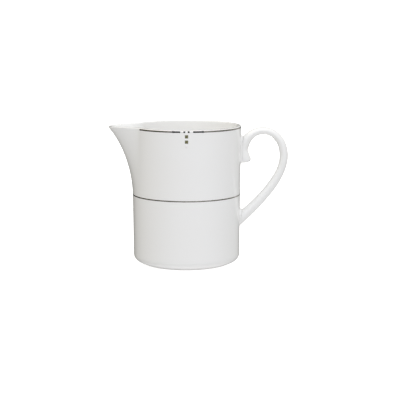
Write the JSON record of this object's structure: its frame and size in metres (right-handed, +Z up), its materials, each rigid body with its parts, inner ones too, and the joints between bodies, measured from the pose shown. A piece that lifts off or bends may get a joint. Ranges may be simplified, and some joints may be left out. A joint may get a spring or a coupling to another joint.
{
  "type": "porcelain cream jug",
  "caption": "Straight-sided white porcelain cream jug with a pulled spout, a looped handle with a finger spur, platinum lines and a small geometric motif.",
  "frame": {"origin": "centre of the foot ring, in the plane that the jug stands on", "axes": "+Z up along the body's axis, -X towards the spout, +X towards the handle, -Y towards the decorated front"},
  "size_m": [0.1157, 0.071, 0.09],
  "materials": {
    "porcelain": "clear gloss glaze over white porcelain, foot ring unglazed",
    "platinum": "bright fired platinum line",
    "black_enamel": "gloss black on-glaze enamel",
    "olive_enamel": "gloss olive on-glaze enamel",
    "white_enamel": "gloss raised white enamel"
  },
  "bodies": {
    "root": {"jug_body": "porcelain", "handle": "porcelain", "upper_joint_slip": "porcelain", "lower_joint_slip": "porcelain", "rim_line_handle_side": "platinum", "rim_line_spout_front": "platinum", "rim_line_spout_back": "platinum", "waist_line": "platinum", "motif_bars": "black_enamel", "motif_dots": "black_enamel", "motif_pearls": "white_enamel", "motif_squares": "olive_enamel"}
  },
  "joints": []
}
